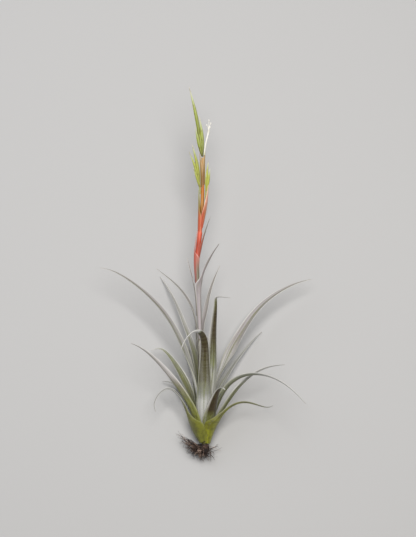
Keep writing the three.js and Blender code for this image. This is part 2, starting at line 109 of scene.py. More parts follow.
sight_up = np.array([0, math.cos(STEM_RISE), math.sin(STEM_RISE)])
sight_back = np.array([0, -math.sin(STEM_RISE), math.cos(STEM_RISE)])
middle_px = IMAGE_PX / 2 - FOOT_PX
middle_m = FOOT_M + (middle_px[0] * np.array([1, 0, 0]) - middle_px[1] * sight_up) * MM_PER_PIXEL / 1000
camera = bpy.data.objects.new("camera", bpy.data.cameras.new("camera"))
bpy.context.collection.objects.link(camera)
camera.data.lens = LENS_MM
camera.data.sensor_width = SENSOR_MM
distance = LENS_MM / SENSOR_MM * IMAGE_PX[1] * MM_PER_PIXEL / 1000
camera.location = middle_m + sight_back * distance
camera.rotation_euler = (STEM_RISE, 0, 0)
bpy.context.scene.camera = camera

floor_mesh = bpy.data.meshes.new("floor")
corners = [(-1, -1), (1, -1), (1, 1), (-1, 1)]
floor_mesh.from_pydata(
    [(x * FLOOR_HALF_M, y * FLOOR_HALF_M, -FLOOR_BELOW_M) for x, y in corners], [], [(0, 1, 2, 3)]
)
floor = bpy.data.objects.new("floor", floor_mesh)
bpy.context.collection.objects.link(floor)
paper, tree, shader = new_material("pale_studio_paper", Roughness=0.9)
tint = add_node(tree, "TexNoise", {"Scale": 3.0, "Detail": 2.0})
shade = add_node(tree, "ValToRGB", {"Fac": tint.outputs["Fac"]}, stops=[(0.3, "#b5b5b4"), (0.7, "#b9b9b8")])
tree.links.new(shade.outputs["Color"], shader.inputs["Base Color"])
floor_mesh.materials.append(paper)

add_light("key", place=(0.1, 0.1, 1.6), size=0.8, watts=27, colour="#fffcfa")
add_light("fill", place=(-1.0, 0.8, 1.1), size=1.2, watts=7, colour="#f2f6ff")
world = bpy.data.worlds.new("studio")
world.use_nodes = True
surround = world.node_tree.nodes["Background"]
surround.inputs["Color"].default_value = linear("#e6e6e6")
surround.inputs["Strength"].default_value = SURROUND_STRENGTH
bpy.context.scene.world = world
bpy.context.scene.view_settings.view_transform = "Standard"

# The stem
# One grown axis: short and hidden among the leaves, then the coral flower stalk up to the top spike. It is a
# smooth waxy shoot, finely ribbed along its length. Each stop of the profile is [height, radius].
STEM_PROFILE = np.array([
    [-1, 3.2], [4, 3.5], [15, 3.4], [20, 3], [25, 2.3], [32, 2], [60, 1.85], [82, 1.6], [100, 1.45],
    [176, 1.5], [192, 1.6], [205, 1.8], [220, 1.85], [235, 1.7], [250, 1.3], [271, 1],
])
SWING_FROM, SWING_BY, SWING_OVER = 165, 12.2, 44
STEM_PULLS, STEM_ROWS, STEM_SIDES = 24, 220, 24
CURVE_SAMPLES = 1500
NORMAL_STEPS = 3
# A colour mix node has its share at input 0, its two colours at 6 and 7, and its result at output 2.
SHARE, FROM, TO, MIXED = 0, 6, 7, 2


def laid_down(points):
    """Millimetres in the upright plant's frame to metres in the lying one: leaned about z, raised about x
    and moved to the foot."""
    cosine, sine = math.cos(STEM_LEAN), math.sin(STEM_LEAN)
    lean = np.array([[cosine, -sine, 0], [sine, cosine, 0], [0, 0, 1]])
    cosine, sine = math.cos(STEM_RISE), math.sin(STEM_RISE)
    rise = np.array([[1, 0, 0], [0, cosine, -sine], [0, sine, cosine]])
    return points @ (rise @ lean).T / 1000 + FOOT_M


def stem_line(height):
    """The stem's line at a height: straight up, then swung to the right in proportion to p squared over the
    sum of p squared and a constant, where p is the height past the start of the swing."""
    height = np.asarray(height, float)
    past = np.maximum(height - SWING_FROM, 0)
    swung = SWING_BY * past**2 / (past**2 + SWING_OVER**2)
    return np.stack([swung, height, np.zeros_like(height)], axis=-1)


def soft_curve(points, fractions):
    """A uniform cubic B-spline that starts and ends at the end points: its points and unit tangents at
    fractions of its length, and its length."""
    points = np.asarray(points, float)
    pulls = np.vstack([2 * points[0] - points[1], points, 2 * points[-1] - points[-2]])
    spans = len(pulls) - 3

    def at(t):
        span = np.clip(t.astype(int), 0, spans - 1)
        f = (t - span)[:, None]
        weights = [(1 - f) ** 3, 3 * f**3 - 6 * f**2 + 4, -3 * f**3 + 3 * f**2 + 3 * f + 1, f**3]
        slopes = [-((1 - f) ** 2), 3 * f**2 - 4 * f, -3 * f**2 + 2 * f + 1, f**2]
        place = sum(w / 6 * pulls[span + i] for i, w in enumerate(weights))
        slope = sum(w / 2 * pulls[span + i] for i, w in enumerate(slopes))
        return place, slope

    t = np.linspace(0, spans, CURVE_SAMPLES)
    dense, _ = at(t)
    run = np.concatenate([[0], np.cumsum(np.linalg.norm(np.diff(dense, axis=0), axis=1))])
    place, slope = at(np.interp(np.asarray(fractions) * run[-1], run, t))
    return place, slope / np.linalg.norm(slope, axis=1, keepdims=True), run[-1]


def carried_normals(points, fractions, first):
    """A normal carried along the curve without twist: each small step takes the tangent's share out."""
    rows = np.arange(len(fractions))
    fine_rows = np.arange((len(fractions) - 1) * NORMAL_STEPS + 1) / NORMAL_STEPS
    _, tangents, _ = soft_curve(points, np.interp(fine_rows, rows, fractions))
    normals = np.empty_like(tangents)
    normal = np.asarray(first, float)
    for i, tangent in enumerate(tangents):
        normal = normal - tangent * (normal @ tangent)
        normal = normal / np.linalg.norm(normal)
        normals[i] = normal
    return normals[::NORMAL_STEPS]


def ring_mesh(rings):
    """The faces of a closed skin over rings of points: strips between the rings and across both ends,
    turned outwards by the sign of the volume that they enclose."""
    rows, around = rings.shape[:2]
    i, j = np.meshgrid(np.arange(rows - 1), np.arange(around), indexing="ij")
    here, after = i * around + j, i * around + (j + 1) % around
    walls = np.stack([here, here + around, after + around, after], axis=-1)
    k = np.arange(around // 2)
    first = np.stack([k, k + 1, around - k - 1, (around - k) % around], axis=-1)
    last = (rows - 1) * around + first[:, ::-1]
    faces = np.vstack([walls.reshape(-1, 4), first, last])
    a, b, c, d = rings.reshape(-1, 3)[faces].transpose(1, 0, 2)
    swell = np.einsum("ij,ij->", a, np.cross(b, c)) + np.einsum("ij,ij->", a, np.cross(c, d))
    return faces if swell > 0 else faces[:, ::-1]


def make_piece(name, skins, material, replaced):
    """One piece from closed skins, each a ring array in millimetres with its surface attributes, laid down
    on the floor and never through it."""
    points, faces, marks, start = [], [], {}, 0
    for rings, attributes in skins:
        points.append(laid_down(rings.reshape(-1, 3)))
        faces.append(ring_mesh(rings) + start)
        start += len(points[-1])
        for key, values in attributes.items():
            marks.setdefault(key, []).append(np.broadcast_to(values, rings.shape).reshape(-1, 3))
    points, faces = np.vstack(points), np.vstack(faces)
    points[:, 2] = np.maximum(points[:, 2], 0)
    mesh = bpy.data.meshes.new(name)
    mesh.from_pydata(points, [], faces)
    for key, values in marks.items():
        layer = mesh.attributes.new(key, "FLOAT_VECTOR", "POINT")
        layer.data.foreach_set("vector", np.vstack(values).astype(np.float32).ravel())
    mesh.polygons.foreach_set("use_smooth", np.ones(len(mesh.polygons), bool))
    mesh.materials.append(material)
    mesh.validate(clean_customdata=False)
    piece = bpy.data.objects.new(name, mesh)
    bpy.context.collection.objects.link(piece)
    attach(piece, "root")
    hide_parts(*replaced)


def surface_marks(along, lateral, across, length, third):
    """What the patterns read at each point: zone is the fractions along the piece and sideways, and grain
    the millimetres across and along it, with a third value."""
    along, lateral, across, third = np.broadcast_arrays(along, lateral, across, third)
    return {
        "zone": np.stack([along, lateral, 0 * along], axis=-1),
        "grain": np.stack([across, along * length, third], axis=-1),
    }


def tube(points, fractions, half_widths, sides, half_depths=None, pale=0.0):
    """Rings round a soft curve, each an ellipse of half width and half depth. Sideways is round it here, and
    the third value says how pale it is, and below zero how much darker it is as painted shade."""
    place, tangents, length = soft_curve(points, fractions)
    normals = carried_normals(points, fractions, (0, 0, 1))[:, None]
    across = np.cross(tangents, normals[:, 0])[:, None]
    wide = np.asarray(half_widths, float)[:, None, None]
    deep = wide if half_depths is None else np.asarray(half_depths, float)[:, None, None]
    angle = (2 * np.pi * np.arange(sides) / sides)[None, :, None]
    rings = place[:, None] + across * wide * np.sin(angle) + normals * deep * np.cos(angle)
    along, turn = np.asarray(fractions)[:, None], angle[..., 0]
    return rings, surface_marks(along, turn / (2 * np.pi), wide[..., 0] * turn, length, pale)


# Living shoot with a thin wax bloom, grown not made: satin, green at the foot, then coral and orange, with
# fine ribs about 0.7 mm apart.
coral_stalk, tree, shader = new_material("waxy_coral_stalk", Roughness=0.5, Specular_IOR_Level=0.4)
zones = add_node(tree, "SeparateXYZ", {"Vector": add_node(tree, "Attribute", attribute_name="zone")})
grain = add_node(tree, "Attribute", attribute_name="grain")
hue = add_node(
    tree,
    "ValToRGB",
    {"Fac": zones},
    stops=[
        (0.0, "#5d5a2e"), (1.0, "#c9a566"), (0.3, "#8d8b72"), (0.5, "#a9a096"), (0.56, "#d98370"),
        (0.775, "#cf6647"), (0.805, "#86521c"), (0.84, "#bb8746"), (0.89, "#c67431"), (0.93, "#d98346"),
    ],
)
ribs_at = add_node(tree, "Mapping", {"Vector": grain, "Scale": (1.4, 0.05, 1)})
ribs = add_node(tree, "TexNoise", {"Vector": ribs_at, "Scale": 1.0, "Detail": 3.0})
deeper = add_node(tree, "HueSaturation", {"Color": hue, "Saturation": 1.1, "Value": 0.62})
rib_shade = add_node(tree, "MapRange", {"Value": ribs, "From Min": 0.35, "From Max": 0.65})
streaked = add_node(tree, "Mix", {SHARE: rib_shade, FROM: hue, TO: deeper}, data_type="RGBA")
tree.links.new(streaked.outputs[MIXED], shader.inputs["Base Color"])
relief = add_node(tree, "Bump", {"Height": ribs, "Strength": 0.5, "Distance": 0.00015})
tree.links.new(relief.outputs["Normal"], shader.inputs["Normal"])

stem_foot, stem_tip = STEM_PROFILE[[0, -1], 0]
stem_heights = np.linspace(stem_foot, stem_tip, STEM_PULLS)
stem_fractions = np.linspace(0, 1, STEM_ROWS)
stem_radii = np.interp(stem_foot + stem_fractions * (stem_tip - stem_foot), *STEM_PROFILE.T)
stem_skin = tube(stem_line(stem_heights), stem_fractions, stem_radii, sides=STEM_SIDES)
make_piece("flower_stalk", [stem_skin], coral_stalk, ["stem"])

# The rosette's leaves
# Seventeen stiff leaves, each one blade that starts as a broad sheath wrapped round the stem and narrows to
# a rolled, recurved channel. Grey scales that drink from the air cover the green tissue, thickest on the
# blades.
LEAF_ROWS, LEAF_COLUMNS = 130, 21
ROW_CROWDING = 1.1
TAPER_POWER = 0.85
TIP_HALF_WIDTH = 0.16
MARGIN_THICKNESS = 0.32
TIP_THICKNESS = 0.42
# Half the angle that a sheath wraps, and half the channel's angle at its root and at its tip, in radians.
CLASP = 0.9
CHANNEL = (0.6, 1.1)
# The power by which a blade's own width and its clasp blend into the lesser of the two.
LESSER_POWER = 6.0
# Each blade reads its own slice of every pattern, which lies at this place plus the step times its number.
SLICE_FROM, SLICE_STEP = 5, 17
# Azimuth runs from the plant's right towards the side that faces up. Turn twists a blade by so many degrees
# over the part of its length in turns. A midrib's pull is [distance from the stem, height], with a distance
# to the side where there is a third. A coat's stop is [fraction of the length, cover of scales, how mauve
# they are, how brown the tissue is]. On the leaves noted below, brown is partly painted shade, and brown
# below zero partly painted light.
LEAVES = [
    dict(azimuth=165, width=9, sheath=18, sheath_ends=(0.12, 0.38), clasp=1.36, turn=-32, turns=(0.4, 0.62),
        yellow=0.8,
        coat=[[0, -0.3, 0, 0.15], [0.25, -0.2, 0, 0.25], [0.42, 0.1, 0, 0.4], [0.52, 0.8, 0.1, 0],
            [0.62, 1.1, 0.1, -0.05]],
        midrib=[[4.5, 0.3], [7.4, 4.8], [10.8, 11], [13.8, 19], [16.2, 28], [18.9, 37], [22.8, 45],
            [28.5, 52], [35.5, 54], [43.5, 48.5], [49, 39.5], [46.8, 32]]),
    dict(azimuth=20, width=13, sheath=16, sheath_ends=(0.12, 0.42), clasp=1.2, yellow=1.0,
        coat=[[0, -0.35, 0, 0], [0.25, -0.25, 0, 0.1], [0.42, -0.1, 0, 0.15], [0.6, 0.2, 0, 0.25],
            [1, 0.8, 0.1, 0]],
        midrib=[[4.4, -0.8], [6.6, 5.2], [10.4, 13.5], [15.6, 22], [22.5, 30], [31, 35.6, -3], [38, 37, -6],
            [45, 35.8, -10], [53, 32.3, -14], [59.5, 30.5, -17], [63.2, 32.5, -20]]),
    dict(azimuth=264, width=12, yellow=0.3,
        coat=[[0, 0.2, 0, 0.2], [0.5, 0.75, 0.2, 0], [1, 0.9, 0.3, 0]],
        midrib=[[4.4, 3.5], [6.4, 8.5], [9.4, 16], [13, 27], [17, 43], [24, 72], [30, 98], [34, 118]]),
    # Leaf 4's near white felt on its outer half is partly painted light, as that part lies in shade.
    dict(azimuth=152, width=19, turn=12, turns=(0.3, 0.55), yellow=0.7,
        coat=[[0, -0.25, 0, 0.1], [0.3, 0, 0, 0.1], [0.45, 0.35, 0.6, 0], [0.58, 0.95, 0.8, -0.6],
            [1, 1, 0.4, -0.6]],
        midrib=[[4.4, 4.5], [6, 9], [8.4, 16], [11, 26], [15.3, 37], [24, 50.5], [34, 64.5], [45, 77],
            [56, 88], [67, 95.5], [74, 98.2]]),
    dict(azimuth=11, width=15, turn=-14, turns=(0.25, 0.5), yellow=0.55,
        coat=[[0, 0.1, 0, 0.1], [0.35, 0.25, 0, 0.3], [0.5, 0.6, 0.1, 0.1], [0.7, 1, 0.1, -0.5],
            [1, 1, 0.1, -0.3]],
        midrib=[[4.4, 5], [6.2, 9], [9.8, 16], [15.2, 25], [21, 32.5], [26.8, 41], [34.6, 50.5], [43.6, 59],
            [54.5, 66], [67.5, 70.3], [80.5, 71]]),
    # Leaf 6's dark brown middle is painted shade under its arch; its broad pale hem is partly painted
    # highlight.
    dict(azimuth=60, width=20, clasp=0.62, yellow=0.5, hem=0.6,
        coat=[[0, 0.3, 0, 0.1], [0.32, 0.15, 0, 0.35], [0.42, -0.2, 0, 1], [0.8, -0.3, 0, 1.15],
            [0.93, 0.9, 0, -0.4]],
        midrib=[[4.4, 8.3], [6.5, 12.5], [9.4, 18], [13.8, 26], [19.3, 35], [25, 44], [31, 50.3],
            [37.5, 52.5], [43, 50]]),
    dict(azimuth=209, width=13, clasp=0.76, yellow=0.7,
        coat=[[0, 0.15, 0, 0], [0.4, 0.3, 0, 0.1], [1, 0.85, 0.1, 0]],
        midrib=[[4.4, 8.5], [6, 13], [8, 20], [11, 30], [15, 40.5], [24, 52], [34, 59.5], [43, 60]]),
    dict(azimuth=25, width=15, clasp=0.8, turn=-12, turns=(0.25, 0.5), yellow=0.4,
        coat=[[0, 0.15, 0, 0.1], [0.3, 0.35, 0, 0.35], [0.5, 0.5, 0, 0.25], [0.7, 1, 0.1, -0.6],
            [1, 1, 0.1, -0.4]],
        midrib=[[4.3, 10.6], [4.8, 14], [7.6, 20], [12.5, 30], [18.6, 42], [26.5, 53], [38.5, 60.8],
            [52, 63.6], [66, 62], [79, 57.2], [93, 48.2], [107, 33.5]]),
    dict(azimuth=284, width=13, clasp=0.75, yellow=0.4,
        coat=[[0, 0.3, 0, 0.1], [1, 0.9, 0.3, 0]],
        midrib=[[4.4, 12.6], [5.6, 16.8], [8.8, 25], [12.8, 36], [18.6, 59], [24, 80], [30, 101]]),
    dict(azimuth=200, width=17, clasp=0.8, turn=-38, turns=(0.25, 0.55), yellow=0.35,
        coat=[[0, 0.3, 0, 0], [0.35, 0.25, 0, 0.5], [0.7, 0.5, 0.1, 0.15], [0.85, 0.6, 0.1, -0.2],
            [1, 1, 0.1, -0.8]],
        midrib=[[4.3, 15.5], [4.7, 18.5], [6.8, 25], [9.3, 32], [12.6, 43], [17.5, 59], [25, 73.5],
            [33.5, 86.5], [41.5, 92.8], [50.2, 89.8]]),
    # Leaf 11: its brown middle is partly painted shade, and the darkest stretch under the bend is painted
    # shade.
    # The near white felt on its arch past the bend is partly a painted highlight.
    dict(azimuth=88, width=19, yellow=0.2, banded=0.75,
        coat=[[0, 0.95, 0, -0.6], [0.2, 0.9, 0, -0.55], [0.27, 0.6, 0.1, 0.1], [0.36, 0.2, 0.2, 0.75],
            [0.6, 0, 0.1, 1], [0.67, -0.45, 0, 1.35], [0.74, -0.4, 0, 1.35], [0.77, 1.3, 0, -1],
            [1, 1.3, 0.1, -0.7]],
        midrib=[[4.2, 15.2], [5.4, 19], [8, 26], [11.4, 38, -0.7], [18.4, 62, -2], [24.4, 82, -2.9],
            [31, 97, -3.4], [38, 105, -0.5], [45, 107, 5], [50, 104, 11.4], [53.5, 97, 17.5],
            [55, 89, 20.5]]),
    # Leaf 12's near white felt is partly painted light, as the leaf lies in the shade of others.
    dict(azimuth=329, width=13, turn=18, turns=(0.2, 0.42), yellow=0.4,
        coat=[[0, 0.2, 0, 0.1], [0.2, 0.7, 0.1, 0.1], [0.35, 0.9, 0.1, -0.1], [0.7, 1, 0.1, -0.3],
            [1, 1.1, 0.1, -0.2]],
        midrib=[[4.3, 17], [5.4, 21], [8.5, 30.5], [12, 40.5], [18.2, 50], [25.2, 59], [33.5, 70],
            [44.5, 81.5], [57.3, 94], [69, 102.8]]),
    dict(azimuth=241, width=14, clasp=0.8, yellow=0.4,
        coat=[[0, 0.3, 0, 0.1], [1, 0.9, 0.3, 0]],
        midrib=[[4.2, 20.3], [5, 25], [6.8, 31.5], [10.2, 43], [14.8, 60], [19.8, 77], [24.6, 93]]),
    # Leaf 14's olive-brown upper part is partly painted shade.
    dict(azimuth=55, width=21, yellow=0.4, banded=0.5, hem=1,
        coat=[[0, 0.85, 0, -0.75], [0.2, 0.85, 0, -0.75], [0.36, 0.7, 0, -0.5], [0.5, 0.3, 0, 0.6],
            [0.6, 0.1, 0, 0.95], [0.75, -0.05, 0, 1.15], [0.86, 0.25, 0, 0.6], [0.9, 1.2, 0.1, -0.5]],
        midrib=[[4, 21.5], [5.4, 26], [8.6, 35.5], [13.4, 50], [17.3, 62], [20.2, 79], [22.4, 98],
            [25.6, 115], [29.3, 131], [31, 137, 1.5], [33, 138.6, 1], [44, 136.8, -6.4]]),
    dict(azimuth=180, width=15, sheath=3, clasp=0.82, turn=-38, turns=(0.16, 0.45), yellow=0.35,
        coat=[[0, 0.7, 0, -0.8], [0.2, 0.9, 0, -0.75], [0.38, 0.9, 0.2, -0.2], [0.6, 0.9, 0.35, 0],
            [1, 0.95, 0.3, 0]],
        midrib=[[3.7, 23], [4, 30], [5.2, 42], [7.6, 57], [11.2, 73.5], [15.8, 89], [23.6, 108.5],
            [34.5, 128], [50, 145.5], [66.5, 159.5], [80.5, 168.2], [92, 171]]),
    dict(azimuth=350, width=18.5, turn=43, turns=(0.23, 0.41), yellow=0.5,
        coat=[[0, 0.75, 0, -0.9], [0.15, 0.85, 0, -0.9], [0.3, 0.85, 0.4, -0.6], [0.45, 0.85, 0.5, -0.1],
            [0.7, 0.95, 0.35, -0.05], [1, 0.95, 0.3, -0.1]],
        midrib=[[3.3, 24.5], [3.9, 29], [5.6, 36.5], [9, 46.5], [15.4, 58.5], [22.8, 72.5], [30.6, 87],
            [39.5, 101.5], [50.3, 117], [63.3, 130.2], [78.7, 140.4], [96, 147.8], [110.5, 150.6]]),
    # Leaf 17's browner lower part is painted shade, where it lies beside leaf 11.
    dict(azimuth=233, width=11.5, sheath=3, yellow=0.35,
        coat=[[0, 0.3, 0, 0.2], [0.35, 0.5, 0.2, 0.3], [0.5, 0.85, 0.2, -0.1], [1, 0.95, 0.3, -0.5]],
        midrib=[[2.9, 31], [3, 38], [4, 50], [5.6, 64], [8.8, 81], [15.5, 97], [25, 114.5], [33.6, 130],
            [44.5, 146], [59, 159.5]]),
]


def smoothstep(value, low, high):
    """Rises from 0 at low to 1 at high, level at both ends."""
    t = np.clip((np.asarray(value, float) - low) / (high - low), 0, 1)
    return t * t * (3 - 2 * t)


def blade(
    midrib, azimuth, width, number, sheath=0, sheath_ends=(0.06, 0.38), clasp=CLASP, turn=0,
    turns=(0.35, 0.8), roll=None, thickness=0.95, rows=LEAF_ROWS, columns=LEAF_COLUMNS,
):
    """A leaf as rings along s, from the root to the tip of a soft curve. The half width falls by a power of
    what is left of s, has the sheath's flare on top, and blends into the width that the clasp's angle
    allows. Each section is an arc, centred on the stem where it is a sheath and rolled by the channel's
    angle further out. It runs by t from margin to margin and back underneath, and thins to both."""
    heading = math.radians(azimuth)
    out = np.array([math.cos(heading), 0, math.sin(heading)])
    side = np.array([-out[2], 0, out[0]])
    pulls = np.array([[*pull, 0][:3] for pull in midrib], float)
    points = stem_line(pulls[:, 1]) + pulls[:, :1] * out + pulls[:, 2:] * side
    s = np.linspace(0, 1, rows) ** ROW_CROWDING
    place, tangents, length = soft_curve(points, s)
    normals = carried_normals(points, s, -out)
    angle = (math.radians(turn) * smoothstep(s, *turns))[:, None]
    inward = normals * np.cos(angle) + np.cross(tangents, normals) * np.sin(angle)
    across = np.cross(inward, tangents)
    off_stem = np.hypot(place[:, 0] - stem_line(place[:, 1])[:, 0], place[:, 2])
    shell = np.maximum(tangents[:, 1], 0) / off_stem
    flare = sheath * (1 - smoothstep(s, *sheath_ends))
    free = width / 2 * (1 - s) ** TAPER_POWER + TIP_HALF_WIDTH + flare
    half = (free**-LESSER_POWER + (shell / clasp) ** LESSER_POWER) ** (-1 / LESSER_POWER)
    rolled = CHANNEL[0] + (CHANNEL[1] - CHANNEL[0]) * s if roll is None else roll
    curl = np.maximum(shell, rolled / half)
    t = np.sin(np.linspace(-1, 1, columns) * np.pi / 2)
    t = np.concatenate([t, t[-2:0:-1]])
    upper = np.concatenate([np.ones(columns), -np.ones(columns - 2)])
    upper[[0, columns - 1]] = 0
    bend = t * (half * curl)[:, None]
    centre = place[:, None] + across[:, None] * (np.sin(bend) / curl[:, None])[..., None]
    centre = centre + inward[:, None] * ((1 - np.cos(bend)) / curl[:, None])[..., None]
    facing = inward[:, None] * np.cos(bend)[..., None] - across[:, None] * np.sin(bend)[..., None]
    middle = (thickness + (TIP_THICKNESS - thickness) * s)[:, None]
    skin = (MARGIN_THICKNESS + (middle - MARGIN_THICKNESS) * (1 - t**2)) / 2 * upper
    rings = centre + facing * skin[..., None]
    pattern_slice = SLICE_FROM + SLICE_STEP * number
    return rings, surface_marks(s[:, None], np.abs(t), t * width / 2, length, pattern_slice)


def scaly_blade(number, coat, yellow, banded=0.15, hem=0, **shape):
    """A leaf with its coat of scales: cover, mauve and brown at the stops along it, where brown below zero
    is bright felt, partly painted light; on some leaves brown is partly painted shade. Yellow is for its
    tissue, banded for the cross bands where it is brown, and hem for broader pale margins."""
    rings, marks = blade(number=number, **shape)
    stops = np.array(coat)
    along = marks["zone"][..., 0]
    marks["coat"] = np.stack([np.interp(along, stops[:, 0], stops[:, k]) for k in (1, 2, 3)], axis=-1)
    marks["tone"] = np.array([yellow, banded, hem])
    return rings, marks


# Living leaf under a felt of dry silver scales, grown in lines along the blade: matt, with a soft sheen. It
# is greener or browner where the felt is thin, faintly cross-banded there, and brightest along the margins,
# where the scales stand past the edge. On some leaves the brown is partly painted shade, and the near white
# felt partly painted light.
silver_leaf, tree, shader = new_material(
    "scaly_silver_leaf", Roughness=0.62, Specular_IOR_Level=0.35, Sheen_Weight=0.15, Sheen_Roughness=0.5
)
zones, coats, tones = (
    add_node(tree, "SeparateXYZ", {"Vector": add_node(tree, "Attribute", attribute_name=name)})
    for name in ("zone", "coat", "tone")
)
grain = add_node(tree, "Attribute", attribute_name="grain")
# Fine lines about 0.6 mm apart, broad streaks about 2.4 mm apart, flecks of about 0.7 by 1.4 mm, and worn
# patches of about 3 by 7 mm with finer ones inside.
lines, streaks, flecks, patches = (
    add_node(
        tree,
        "TexNoise",
        {
            "Vector": add_node(tree, "Mapping", {"Vector": grain, "Scale": scale}),
            "Scale": 1.0,
            "Detail": detail,
            "Roughness": roughness,
        },
    )
    for scale, detail, roughness in (
        ((1.7, 0.05, 1), 3.0, 0.5), ((0.42, 0.012, 1), 2.0, 0.5),
        ((1.5, 0.7, 1), 2.0, 0.5), ((0.34, 0.15, 1), 4.0, 0.65),
    )
)
# The felt is thicker at the margins, and the lines, streaks and flecks break it up.
margin_felt = add_node(tree, "Math", {0: zones.outputs["Y"], 1: 0.5, 2: -0.2}, operation="MULTIPLY_ADD")
felt = add_node(tree, "Math", {0: coats, 1: margin_felt}, operation="ADD")
for noise, weight in ((lines, 1.4), (streaks, 1.3), (flecks, 1.1)):
    weighed = add_node(tree, "Math", {0: noise, 1: weight, 2: felt}, operation="MULTIPLY_ADD")
    felt = add_node(tree, "Math", {0: weighed, 1: weight / 2}, operation="SUBTRACT")
cover = add_node(tree, "Math", {0: felt, 1: 0.0}, operation="ADD", use_clamp=True)
# The tissue is grey green to yellow green. Where it is brown, it has paler cross bands about 4 mm apart.
# The darkest brown also serves as painted shade on some leaves.
tissue = add_node(
    tree, "Mix", {SHARE: tones, FROM: linear("#7c8452"), TO: linear("#888a1c")}, data_type="RGBA"
)
bands_at = add_node(tree, "Mapping", {"Vector": grain, "Scale": (0.05, 1.0, 0)})
bands = add_node(
    tree,
    "TexWave",
    {"Vector": bands_at, "Scale": 0.075, "Distortion": 9.0, "Detail": 4.0, "Detail Scale": 2.0},
    bands_direction="Y",
)
banding = add_node(tree, "Math", {0: bands.outputs["Fac"], 1: tones.outputs["Y"]}, operation="MULTIPLY")
brown_and_shade = add_node(
    tree, "Mix", {SHARE: banding, FROM: linear("#38290f"), TO: linear("#544e33")}, data_type="RGBA"
)
browned_and_shaded = add_node(tree, "Mix", {SHARE: coats.outputs["Z"], FROM: tissue, TO: brown_and_shade}, data_type="RGBA")
# The patches are worn and bruised, with fresher ones between them.
worn = add_node(tree, "MapRange", {"Value": patches, "From Min": 0.48, "From Max": 0.66, "To Max": 0.8})
bruised = add_node(tree, "Mix", {SHARE: worn, FROM: browned_and_shaded, TO: linear("#4a451c")}, data_type="RGBA")
fresh = add_node(tree, "MapRange", {"Value": patches, "From Min": 0.46, "From Max": 0.32, "To Max": 0.45})
lively = add_node(tree, "HueSaturation", {"Color": bruised, "Value": 1.5, "Fac": fresh})
# The scales over the tissue are grey to mauve, and near white where the felt is bright.
# On some leaves that near white felt is partly painted light.
scales = add_node(
    tree,
    "Mix",
    {SHARE: coats.outputs["Y"], FROM: linear("#8b8d89"), TO: linear("#95868c")},
    data_type="RGBA",
)
felt_and_light_share = add_node(tree, "Math", {0: coats.outputs["Z"], 1: -0.8}, operation="MULTIPLY")
felt_and_light_colour = add_node(tree, "Mix", {SHARE: felt_and_light_share, FROM: scales, TO: linear("#e6e5e1")}, data_type="RGBA")
coated = add_node(tree, "Mix", {SHARE: cover, FROM: lively, TO: felt_and_light_colour}, data_type="RGBA")
# Pale margins, greenish on the sheath and silver on the blade, then the dry tip and the streaks' shade.
hem_from = add_node(tree, "Math", {0: tones.outputs["Z"], 1: -0.22, 2: 0.76}, operation="MULTIPLY_ADD")
outer = add_node(
    tree, "MapRange", {"Value": zones.outputs["Y"], "From Min": hem_from, "From Max": 0.96, "To Max": 0.72}
)
grown = add_node(tree, "MapRange", {"Value": zones, "From Min": 0.15, "From Max": 0.5, "To Min": 0.35})
edge = add_node(tree, "Math", {0: outer, 1: grown}, operation="MULTIPLY")
rim_tone = add_node(tree, "MapRange", {"Value": zones, "From Min": 0.22, "From Max": 0.5})
rim = add_node(
    tree, "Mix", {SHARE: rim_tone, FROM: linear("#8d9036"), TO: linear("#dfded7")}, data_type="RGBA"
)
rimmed = add_node(tree, "Mix", {SHARE: edge, FROM: coated, TO: rim}, data_type="RGBA")
dry = add_node(tree, "MapRange", {"Value": zones, "From Min": 0.975, "From Max": 1.0, "To Max": 0.3})
tipped = add_node(tree, "Mix", {SHARE: dry, FROM: rimmed, TO: linear("#8d7c62")}, data_type="RGBA")
shaded = add_node(
    tree, "MapRange", {"Value": streaks, "From Min": 0.35, "From Max": 0.65, "To Min": 0.7, "To Max": 1.1}
)
varied = add_node(tree, "HueSaturation", {"Color": tipped, "Value": shaded})
tree.links.new(varied.outputs["Color"], shader.inputs["Base Color"])
ribbed = add_node(tree, "Bump", {"Height": lines, "Strength": 0.6, "Distance": 0.0002})
relief = add_node(tree, "Bump", {"Height": flecks, "Strength": 0.35, "Distance": 0.0001, "Normal": ribbed})
tree.links.new(relief.outputs["Normal"], shader.inputs["Normal"])

for number, leaf in enumerate(LEAVES, 1):
    skins = [scaly_blade(number, **leaf)]
    make_piece(f"silver_leaf_{number:02d}", skins, silver_leaf, [f"leaf_{number:02d}"])

